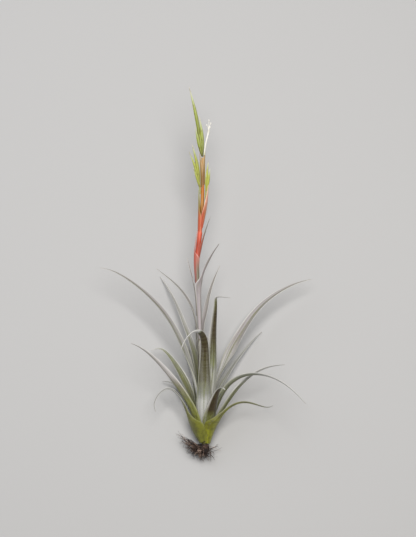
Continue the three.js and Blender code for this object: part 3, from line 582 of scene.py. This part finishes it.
# The stalk's leaves
# Four narrow silver leaves above the rosette, of the same scaly tissue. The lower two clasp the flower stalk
# as tubes and so make the silver column below the red bracts.
STALK_SLICES = 20
STALK_LEAVES = [
    dict(azimuth=325, width=11.5, sheath=9, sheath_ends=(0.32, 0.46), clasp=2.9, turn=45, turns=(0.5, 0.7),
        yellow=0.2,
        coat=[[0, 0.8, 0.6, 0.1], [0.4, 0.95, 0.5, 0], [0.6, 0.95, 0.5, -0.1], [1, 0.95, 0.3, 0]],
        midrib=[[2.9, 48], [2.9, 62], [2.9, 76], [2.95, 90], [3.2, 101], [4.4, 110], [6.6, 119], [9.3, 130],
            [13, 142], [19, 155], [27, 167.5]]),
    dict(azimuth=35, width=7, sheath=7, sheath_ends=(0.47, 0.64), clasp=1.8, turn=-42, turns=(0.6, 0.8),
        yellow=0.2,
        coat=[[0, 0.95, 0.7, -0.15], [0.4, 0.95, 0.7, -0.2], [0.6, 0.95, 0.7, -0.1], [1, 0.95, 0.5, 0]],
        midrib=[[1.95, 99], [1.95, 106], [2.15, 115], [2.35, 126], [2.5, 138], [3, 147], [5.2, 157],
            [10.5, 168], [17, 179], [24, 188.5]]),
    dict(azimuth=176, width=7.5, clasp=0.55, turn=-48, turns=(0.3, 0.55), yellow=0.2,
        coat=[[0, 0.95, 0.5, 0], [1, 0.95, 0.2, 0]],
        midrib=[[1.95, 92], [2.05, 101], [2.9, 111], [4.4, 120], [7.6, 133.5], [18.8, 151], [38.5, 167.5]]),
    dict(azimuth=172, width=7.5, clasp=0.5, turn=-45, turns=(0.5, 0.75), yellow=0.2,
        coat=[[0, 0.9, 0.6, 0], [1, 0.9, 0.4, 0]],
        midrib=[[2.3, 121], [2.4, 131], [2.6, 141], [3.6, 150], [5.6, 160], [9.6, 176.5]]),
]
for number, leaf in enumerate(STALK_LEAVES, 1):
    skins = [scaly_blade(STALK_SLICES + number, thickness=0.6, rows=110, columns=33, **leaf)]
    make_piece(f"clasping_leaf_{number:02d}", skins, silver_leaf, [f"stalk_leaf_{number:02d}"])

# The bracts
# Seven bracts, thin and papery. Three coral to silver ones wrap the stalk. Four stand at the feet of the
# spikes: one yellow-green, one pink and cream, and two tan ones that clasp the stalk's top between them.
BRACT_SLICES = 30
BRACTS = [
    dict(node="stalk_bract_01", kind="coral", azimuth=185, width=7, sheath=7, sheath_ends=(0.45, 0.66),
        clasp=2.7, roll=0.8,
        midrib=[[2, 150], [2.2, 158], [2.45, 166], [2.9, 174], [3.3, 183], [3.3, 192], [2.8, 201.5]]),
    dict(node="stalk_bract_02", kind="silvered", azimuth=12, width=6, sheath=4, sheath_ends=(0.2, 0.4),
        clasp=1.1, roll=1.1,
        midrib=[[2.2, 175], [3, 182], [3.7, 190], [4.6, 197.5], [6.1, 205.5], [8.5, 214.5]]),
    dict(node="stalk_bract_03", kind="salmon", azimuth=95, width=9, sheath=6, sheath_ends=(0.5, 0.8),
        clasp=2.2,
        midrib=[[1.9, 178], [1.95, 186], [2, 193], [2.05, 200], [2.15, 208.5]]),
    dict(node="branch_bract_01", kind="lime", azimuth=194, width=9, sheath=4, sheath_ends=(0.3, 0.6),
        clasp=1.8, roll=1.2,
        midrib=[[2.2, 201], [2.9, 209], [3.4, 218], [3.6, 226], [3.7, 233], [3.8, 240.5]]),
    dict(node="branch_bract_02", kind="pink", azimuth=22, width=12, clasp=1.5, roll=1.1,
        midrib=[[1.9, 204], [2.9, 212], [4, 220], [5, 227], [5.7, 235.5], [5.8, 245]]),
    dict(node="branch_bract_03", kind="tan", azimuth=166, width=9, sheath=2, sheath_ends=(0.3, 0.9),
        clasp=1.27, roll=1.2,
        midrib=[[1.8, 243], [1.9, 250], [2.1, 258], [2.4, 266], [2.6, 275.5]]),
    dict(node="branch_bract_04", kind="tan", azimuth=14, width=9, sheath=2, sheath_ends=(0.3, 0.9),
        clasp=1.27, roll=1.2,
        midrib=[[1.8, 245], [1.85, 252], [1.95, 261], [2.2, 270], [3, 279.5]]),
]
# Colours at a bract's root, middle, upper part and tip, then on its dry margins and its low sides.
BRACT_HUES = {
    "coral": ("#8d6a62", "#bb6c62", "#c96452", "#dca79e", "#e0b9b0", "#7f7a66"),
    "silvered": ("#b4533f", "#9a6452", "#88857a", "#a5a79c", "#bbb6a7", "#b4533f"),
    "salmon": ("#cb5a45", "#ba4e38", "#e26d52", "#f0986f", "#e5917a", "#b8503a"),
    "lime": ("#cc6249", "#b87246", "#93823c", "#a5ae48", "#c4bf78", "#c25f44"),
    "pink": ("#cf6248", "#c07c56", "#daa592", "#e2c7a0", "#ead7b8", "#c25a40"),
    "tan": ("#a37a38", "#a68446", "#b89866", "#b79a76", "#d8c09a", "#86602c"),
}


def papery_bract(kind, root, middle, high, tip, margin, low_side):
    """A bract's material: a ramp along it, another colour on its low sides, darker veins about 0.6 mm
    apart, and dry margins."""
    material, tree, shader = new_material(f"papery_{kind}_bract", Roughness=0.5, Subsurface_Weight=0.08)
    shader.inputs["Subsurface Radius"].default_value = (0.0012, 0.0006, 0.0003)
    zones = add_node(tree, "SeparateXYZ", {"Vector": add_node(tree, "Attribute", attribute_name="zone")})
    grain = add_node(tree, "Attribute", attribute_name="grain")
    veins_at = add_node(tree, "Mapping", {"Vector": grain, "Scale": (1.7, 0.05, 1)})
    veins = add_node(tree, "TexNoise", {"Vector": veins_at, "Scale": 1.0, "Detail": 3.0})
    along = add_node(
        tree, "ValToRGB", {"Fac": zones}, stops=[(0.0, root), (1.0, tip), (0.35, middle), (0.7, high)]
    )
    side = add_node(tree, "MapRange", {"Value": zones.outputs["Y"], "From Min": 0.4, "From Max": 0.65})
    low = add_node(tree, "MapRange", {"Value": zones, "From Min": 0.6, "From Max": 0.25})
    low_sides = add_node(tree, "Math", {0: side, 1: low}, operation="MULTIPLY")
    hue = add_node(tree, "Mix", {SHARE: low_sides, FROM: along, TO: linear(low_side)}, data_type="RGBA")
    dark = add_node(tree, "HueSaturation", {"Color": hue, "Saturation": 1.1, "Value": 0.6})
    vein_shade = add_node(tree, "MapRange", {"Value": veins, "From Min": 0.42, "From Max": 0.7})
    veined = add_node(tree, "Mix", {SHARE: vein_shade, FROM: hue, TO: dark}, data_type="RGBA")
    outer = add_node(
        tree, "MapRange", {"Value": zones.outputs["Y"], "From Min": 0.78, "From Max": 0.98, "To Max": 0.7}
    )
    dried = add_node(tree, "MapRange", {"Value": zones, "From Min": 0.3, "From Max": 0.6, "To Min": 0.15})
    edge = add_node(tree, "Math", {0: outer, 1: dried}, operation="MULTIPLY")
    edged = add_node(tree, "Mix", {SHARE: edge, FROM: veined, TO: linear(margin)}, data_type="RGBA")
    tree.links.new(edged.outputs[MIXED], shader.inputs["Base Color"])
    relief = add_node(tree, "Bump", {"Height": veins, "Strength": 0.5, "Distance": 0.00012})
    tree.links.new(relief.outputs["Normal"], shader.inputs["Normal"])
    return material


# Papery bract, thin and dry to the touch: satin, veined along its length, a little light passes through.
bract_materials = {kind: papery_bract(kind, *hues) for kind, hues in BRACT_HUES.items()}
for number, bract in enumerate(BRACTS, BRACT_SLICES + 1):
    node, kind = bract.pop("node"), bract.pop("kind")
    skins = [blade(number=number, thickness=0.5, rows=80, columns=33, **bract)]
    make_piece(f"papery_{node}", skins, bract_materials[kind], [node])

# The spikes
# Three flower spikes. Each is a thin axis with folded, keeled green bracts that overlap like scales and pale
# to their dry tips. A bract is given by its half width and its root, belly and tip.
AXIS_ROWS, AXIS_SIDES = 60, 14
BOAT_ROWS, BOAT_COLUMNS = 60, 17
# Stops of [fraction of the length, radius], and of [fraction of the length, half width, half depth].
AXIS_SHAPE = np.array([[0, 0.8], [0.25, 1], [0.6, 0.8], [0.9, 0.4], [1, 0.15]])
BOAT_SHAPE = np.array([
    [0, 0.45, 0.4], [0.1, 0.68, 0.52], [0.2, 0.85, 0.6], [0.45, 1, 0.62], [0.6, 0.85, 0.56],
    [0.75, 0.6, 0.42], [1, 0.1, 0.1],
])
BOAT_WRAP = math.radians(155)
BOAT_THICKNESS = 0.3
# A bract is full up to a third of the way round to a margin, and thins from there to this share.
BOAT_THINS = [1 / 3, 1], [1, 0.6]
BOAT_SLICE_STEP = 9
# How yellow the yellowest spike is, and the fraction of its line at which a tube stops.
YELLOWEST = 0.6
LINE_END = 0.999
SPIKES = [
    dict(node="spike_left", yellow=0.7, radius=0.75,
        axis=[[6.8, 236.5, 0.2], [6.4, 246, 0.8], [5.6, 256, 1], [4.4, 268, 1]],
        bracts=[
            [1.6, [6, 248, 1], [5.4, 267, 1.2], [0.9, 284.5, 0.9]],
            [1.4, [5.6, 248, 0.9], [3.6, 263, 0.7], [-2.2, 277.5, 0.5]],
            [1.2, [6.2, 243, 1.1], [4.4, 253, 1.5], [0.9, 262, 1.5]],
            [1.1, [6.3, 244, 0.6], [6.6, 257, 0.8], [5.9, 270, 0.6]]]),
    dict(node="spike_right", yellow=1, radius=0.7,
        axis=[[11.4, 229, -0.4], [11.8, 236, 0], [12.7, 245, 0.5], [13.9, 255, 0.8]],
        bracts=[
            [1.4, [12.3, 239, 0.5], [13.5, 255, 0.8], [15.9, 268, 1]],
            [1.4, [12.5, 239, 0.5], [14.9, 249, 0.7], [17, 260.3, 0.9]],
            [1, [12.1, 238, 0.7], [12.4, 249, 1.2], [13.4, 259, 1.2]]]),
    dict(node="spike_top", yellow=0, radius=1,
        axis=[[10.7, 271.8, 0], [10.1, 280, 0.2], [8.9, 292, 0.3], [7, 306, 0.3], [4.9, 318, 0.2]],
        bracts=[
            [1.8, [8.8, 284, 0.2], [7.2, 310, 0.4], [0.8, 338.8, 0.2]],
            [1.7, [10.2, 272, 0.3], [7.2, 287, 0.7], [4.9, 301, 0.8]],
            [1.9, [10.4, 272, 0.2], [11.6, 290, 0.3], [9.2, 311, 0.5]],
            [1.6, [10.2, 272, 0], [9.4, 284, -0.4], [8.4, 298, -0.4]]]),
]


def boat(half_width, root, belly, tip):
    """A folded bract as rings along s from the root to the tip. Each section is an open ellipse, which
    wraps by t from the keel round to both margins and comes back inside, less its thickness."""
    s = np.linspace(0, 1, BOAT_ROWS)
    place, tangents, length = soft_curve([root, belly, tip], s)
    wide = np.interp(s, BOAT_SHAPE[:, 0], BOAT_SHAPE[:, 1]) * half_width
    deep = np.interp(s, BOAT_SHAPE[:, 0], BOAT_SHAPE[:, 2]) * half_width
    keel = np.array([math.copysign(1, tip[0] - root[0]), 0, 0])
    out = keel - tangents * (tangents @ keel)[:, None]
    out = out / np.linalg.norm(out, axis=1, keepdims=True)
    front = np.cross(tangents, out)
    t = np.linspace(-1, 1, BOAT_COLUMNS)
    t = np.concatenate([t, t[-2:0:-1]])
    outer = np.concatenate([np.ones(BOAT_COLUMNS), -np.ones(BOAT_COLUMNS - 2)])
    outer[[0, BOAT_COLUMNS - 1]] = 0
    angle = t * BOAT_WRAP
    shrink = np.minimum(1, deep / BOAT_THICKNESS)[:, None]
    skin = BOAT_THICKNESS / 2 * (outer * np.interp(np.abs(t), *BOAT_THINS) - 1) * shrink
    rings = place[:, None] + out[:, None] * ((wide[:, None] + skin) * np.cos(angle))[..., None]
    rings = rings + front[:, None] * ((deep[:, None] + skin) * np.sin(angle))[..., None]
    pattern_slice = BOAT_SLICE_STEP * half_width
    return rings, surface_marks(s[:, None], np.abs(t), wide[:, None] * angle, length, pattern_slice)


# Living floral bract, leathery and smooth: satin lime green with fine veins 0.5 mm apart and brown spots
# about 2 by 4.5 mm, painted shade at the root where it is tucked in, a pale keel and long whitish dry tips.
green_bract, tree, shader = new_material("smooth_green_bract", Roughness=0.45, Subsurface_Weight=0.06)
shader.inputs["Subsurface Radius"].default_value = (0.0008, 0.001, 0.0003)
zones = add_node(tree, "SeparateXYZ", {"Vector": add_node(tree, "Attribute", attribute_name="zone")})
grain = add_node(tree, "Attribute", attribute_name="grain")
veins_at = add_node(tree, "Mapping", {"Vector": grain, "Scale": (2, 0.06, 1)})
veins = add_node(tree, "TexNoise", {"Vector": veins_at, "Scale": 1.0, "Detail": 3.0})
# The ramp is darkest at the root, as painted shade where each bract is tucked in.
hue = add_node(
    tree,
    "ValToRGB",
    {"Fac": zones},
    stops=[
        (0.0, "#4f4d16"), (1.0, "#d6cebc"), (0.12, "#6f7420"), (0.35, "#858f2f"), (0.6, "#98a244"),
        (0.78, "#b7c088"),
    ],
)
yellow = add_node(tree, "Attribute", attribute_name="tone")
below_tip = add_node(tree, "MapRange", {"Value": zones, "From Min": 0.95, "From Max": 0.6})
ripened = add_node(tree, "Math", {0: below_tip, 1: yellow.outputs["Fac"]}, operation="MULTIPLY")
hue = add_node(tree, "Mix", {SHARE: ripened, FROM: hue, TO: linear("#b6b846")}, data_type="RGBA")
spots_at = add_node(tree, "Mapping", {"Vector": grain, "Scale": (0.5, 0.22, 1)})
spots = add_node(tree, "TexNoise", {"Vector": spots_at, "Scale": 1.0, "Detail": 2.0})
spotted = add_node(tree, "MapRange", {"Value": spots, "From Min": 0.55, "From Max": 0.7, "To Max": 0.7})
hue = add_node(tree, "Mix", {SHARE: spotted, FROM: hue, TO: linear("#5d5418")}, data_type="RGBA")
dark_vein = add_node(tree, "HueSaturation", {"Color": hue, "Saturation": 1.1, "Value": 0.72})
vein_shade = add_node(tree, "MapRange", {"Value": veins, "From Min": 0.4, "From Max": 0.68})
veined = add_node(tree, "Mix", {SHARE: vein_shade, FROM: hue, TO: dark_vein}, data_type="RGBA")
edge = add_node(
    tree, "MapRange", {"Value": zones.outputs["Y"], "From Min": 0.8, "From Max": 1.0, "To Max": 0.6}
)
edged = add_node(tree, "Mix", {SHARE: edge, FROM: veined, TO: linear("#dfdca6")}, data_type="RGBA")
keel = add_node(
    tree, "MapRange", {"Value": zones.outputs["Y"], "From Min": 0.12, "From Max": 0.0, "To Max": 0.45}
)
keeled = add_node(tree, "Mix", {SHARE: keel, FROM: edged, TO: linear("#d5da98")}, data_type="RGBA")
tree.links.new(keeled.outputs[MIXED], shader.inputs["Base Color"])
relief = add_node(tree, "Bump", {"Height": veins, "Strength": 0.4, "Distance": 0.0001})
tree.links.new(relief.outputs["Normal"], shader.inputs["Normal"])

axis_rows = np.linspace(0, 1, AXIS_ROWS)
for spike in SPIKES:
    axis_radii = np.interp(axis_rows, *AXIS_SHAPE.T) * spike["radius"]
    skins = [tube(spike["axis"], axis_rows * LINE_END, axis_radii, sides=AXIS_SIDES)]
    skins += [boat(*bract) for bract in spike["bracts"]]
    for _, marks in skins:
        marks["tone"] = np.full(3, YELLOWEST * spike["yellow"])
    make_piece(f"green_{spike['node']}", skins, green_bract, [spike["node"]])

# The open flower
# One slender white flower: three petals rolled into a tube, and four stamens that curl out of its mouth. It
# stands in front of the foot of the top spike, where it grows out between the tan bracts.
TUBE_LINE = [[12.3, 273, 2.9], [12.9, 279, 3.4], [14.8, 287, 4], [17.7, 296.5, 4.2]]
PETAL_RADII = np.array([[0, 0.65], [0.4, 0.72], [0.8, 0.85], [0.93, 1.05], [1, 0.95]])
PETAL_ROWS, PETAL_SIDES = 40, 18
# A filament starts at this fraction of the tube and bows up by so much on its way to its tip.
THROAT = 0.75
FILAMENT_BOW = 1.5
FILAMENT_RADIUS = 0.31
FILAMENT_ROWS, FILAMENT_SIDES = 24, 8
STAMEN_TIPS = np.array([[18.9, 299.5, 4], [18.2, 306, 4.8], [16, 301.5, 5.4], [19.8, 303, 3.6]])
ANTHER_RADIUS = 0.5
ANTHER_HALF_LENGTH = 1
ANTHER_ROWS, ANTHER_SIDES = 13, 10
ANTHER_END = 0.003


def ball_sections(rows, end):
    """A ball's sections: fractions from end to end, and radii by the square root of 1 less the square of the
    place from -1 to 1, where what is under the root is at least the value for the ends."""
    place = np.linspace(-1, 1, rows)
    return (place + 1) / 2, np.sqrt(np.maximum(1 - place**2, end))


# Petal tissue, moist and thin: white with a cream base, soft and faintly shining, lit through, with veins
# about 0.8 mm apart.
white_petal, tree, shader = new_material("soft_white_petal", Roughness=0.42, Subsurface_Weight=0.2)
shader.inputs["Subsurface Radius"].default_value = (0.001, 0.001, 0.0008)
zones = add_node(tree, "SeparateXYZ", {"Vector": add_node(tree, "Attribute", attribute_name="zone")})
grain = add_node(tree, "Attribute", attribute_name="grain")
veins_at = add_node(tree, "Mapping", {"Vector": grain, "Scale": (1.2, 0.12, 1)})
veins = add_node(tree, "TexNoise", {"Vector": veins_at, "Scale": 1.0, "Detail": 2.0})
hue = add_node(
    tree,
    "ValToRGB",
    {"Fac": zones},
    stops=[(0.0, "#c4c193"), (1.0, "#dad5c2"), (0.2, "#e9e6da"), (0.85, "#f2f0e8")],
)
dark_vein = add_node(tree, "HueSaturation", {"Color": hue, "Value": 0.7})
vein_shade = add_node(tree, "MapRange", {"Value": veins, "From Min": 0.45, "From Max": 0.75})
veined = add_node(tree, "Mix", {SHARE: vein_shade, FROM: hue, TO: dark_vein}, data_type="RGBA")
tree.links.new(veined.outputs[MIXED], shader.inputs["Base Color"])

petal_rows = np.linspace(0, 1, PETAL_ROWS)
petal_radii = np.interp(petal_rows, *PETAL_RADII.T)
skins = [tube(TUBE_LINE, petal_rows * LINE_END, petal_radii, sides=PETAL_SIDES)]
(mouth, throat), _, _ = soft_curve(TUBE_LINE, [1, THROAT])
filament_rows = np.linspace(0, 1, FILAMENT_ROWS)
filament_radii = np.full(FILAMENT_ROWS, FILAMENT_RADIUS)
anther_rows, anther_radii = ball_sections(ANTHER_ROWS, ANTHER_END)
anther_end = np.array([0, ANTHER_HALF_LENGTH, 0])
for tip in STAMEN_TIPS:
    bend = (mouth + tip) / 2 + [0, FILAMENT_BOW, 0]
    skins.append(tube([throat, mouth, bend, tip], filament_rows, filament_radii, sides=FILAMENT_SIDES))
    anther_line = [tip - anther_end, tip, tip + anther_end]
    skins.append(tube(anther_line, anther_rows, anther_radii * ANTHER_RADIUS, sides=ANTHER_SIDES))
make_piece("white_petals", skins, white_petal, ["flower"])

# The roots
# A tuft of wiry brown roots on a small woody crown, the holdfast by which the plant gripped its perch. They
# grow from the stem's foot. A few are paler, where the bark has rubbed off.
NECK_HEIGHTS = [-1.3, -5, -9]
NECK_RADII = np.array([[0, 3.1], [0.4, 4.2], [1, 3]])
NECK_ROWS, NECK_SIDES = 14, 16
CROWN = np.array([-5.5, -5, -6])
CROWN_HALF_SIZES = np.array([7.3, 4.2, 7.3])
CROWN_ROWS, CROWN_SIDES = 24, 20
CROWN_END = 0.002
# The crown's paleness is below zero: it is darker, as painted shade.
CROWN_PAINTED_SHADE = -0.2
ROOT_SEED = 37
ROOT_COUNT = 150
# The ranges from which a root is drawn: its heading in degrees, length, radius and depth, and how far its
# pulls wander. A high power of a draw sets how pale it is, so few are.
HEADINGS = (-204, 6)
LENGTHS = (9, 21)
RADII = (0.12, 0.34)
DEPTHS = (-6, 3)
WANDER = 2.7
PALEST, PALE_POWER = 0.5, 4
# Roots leave the crown beside its middle, spread less in height than across, rise on the left and keep clear
# of the floor.
ROOT_START = [CROWN[0] + 2, -6]
SPREAD_FROM, SPREAD = -4, 0.65
RISE = 0.5
CLEARANCE = 0.1
ROOT_TAPER = np.array([[0, 1.2], [0.5, 0.9], [1, 0.35]])
ROOT_PULLS, ROOT_ROWS, ROOT_SIDES = 7, 30, 6

# Dry bark on thin wood: dull, near black to tan, rough to the touch. Its marks are drawn about 3 mm apart,
# coarser than real ones.
dry_root, tree, shader = new_material("wiry_dry_root", Roughness=0.85)
grains = add_node(tree, "SeparateXYZ", {"Vector": add_node(tree, "Attribute", attribute_name="grain")})
bark_at = add_node(tree, "TexCoord")
bark = add_node(tree, "TexNoise", {"Vector": bark_at.outputs["Object"], "Scale": 350.0, "Detail": 3.0})
# Paler where the bark has rubbed off, and darker on the crown as painted shade.
worn = add_node(tree, "Math", {0: bark, 1: grains.outputs["Z"]}, operation="ADD")
hue = add_node(
    tree,
    "ValToRGB",
    {"Fac": worn},
    stops=[(0.3, "#140d09"), (1.0, "#b59d8e"), (0.5, "#2b1e17"), (0.65, "#463329"), (0.8, "#7f6a5b")],
)
tree.links.new(hue.outputs["Color"], shader.inputs["Base Color"])
relief = add_node(tree, "Bump", {"Height": bark, "Strength": 0.6, "Distance": 0.0002})
tree.links.new(relief.outputs["Normal"], shader.inputs["Normal"])

neck_rows = np.linspace(0, LINE_END, NECK_ROWS)
skins = [tube(stem_line(NECK_HEIGHTS), neck_rows, np.interp(neck_rows, *NECK_RADII.T), sides=NECK_SIDES)]
crown_rows, ball = ball_sections(CROWN_ROWS, CROWN_END)
crown_wide, crown_deep = (ball * half_size for half_size in CROWN_HALF_SIZES[1:])
crown_end = np.array([CROWN_HALF_SIZES[0], 0, 0])
crown_line = [CROWN - crown_end, CROWN, CROWN + crown_end]
skins.append(
    tube(crown_line, crown_rows, crown_wide, sides=CROWN_SIDES, half_depths=crown_deep, pale=CROWN_PAINTED_SHADE)
)
draw = np.random.default_rng(ROOT_SEED)
root_rows = np.linspace(0, 1, ROOT_ROWS)
for _ in range(ROOT_COUNT):
    heading = math.radians(draw.uniform(*HEADINGS))
    length = draw.uniform(*LENGTHS)
    radius = draw.uniform(*RADII)
    depth = draw.uniform(*DEPTHS)
    pale = PALEST * draw.random() ** PALE_POWER
    reach = length * np.arange(1, ROOT_PULLS + 1) / ROOT_PULLS
    wander = draw.uniform(-WANDER, WANDER, (ROOT_PULLS, 3))
    x = CROWN[0] + reach * math.cos(heading) + wander[:, 0]
    rise = RISE * np.maximum(CROWN[0] - x, 0)
    y = SPREAD_FROM + SPREAD * reach * math.sin(heading) + rise + wander[:, 1]
    above_floor = radius + CLEARANCE - FOOT_M[2] * 1000 - y * math.sin(STEM_RISE)
    z = np.maximum(depth + wander[:, 2], above_floor / math.cos(STEM_RISE))
    points = np.vstack([[*ROOT_START, depth], np.stack([x, y, z], axis=1)])
    radii = radius * np.interp(root_rows, *ROOT_TAPER.T)
    skins.append(tube(points, root_rows, radii, sides=ROOT_SIDES, pale=pale))
make_piece("wiry_roots", skins, dry_root, ["roots"])

bpy.context.view_layer.update()
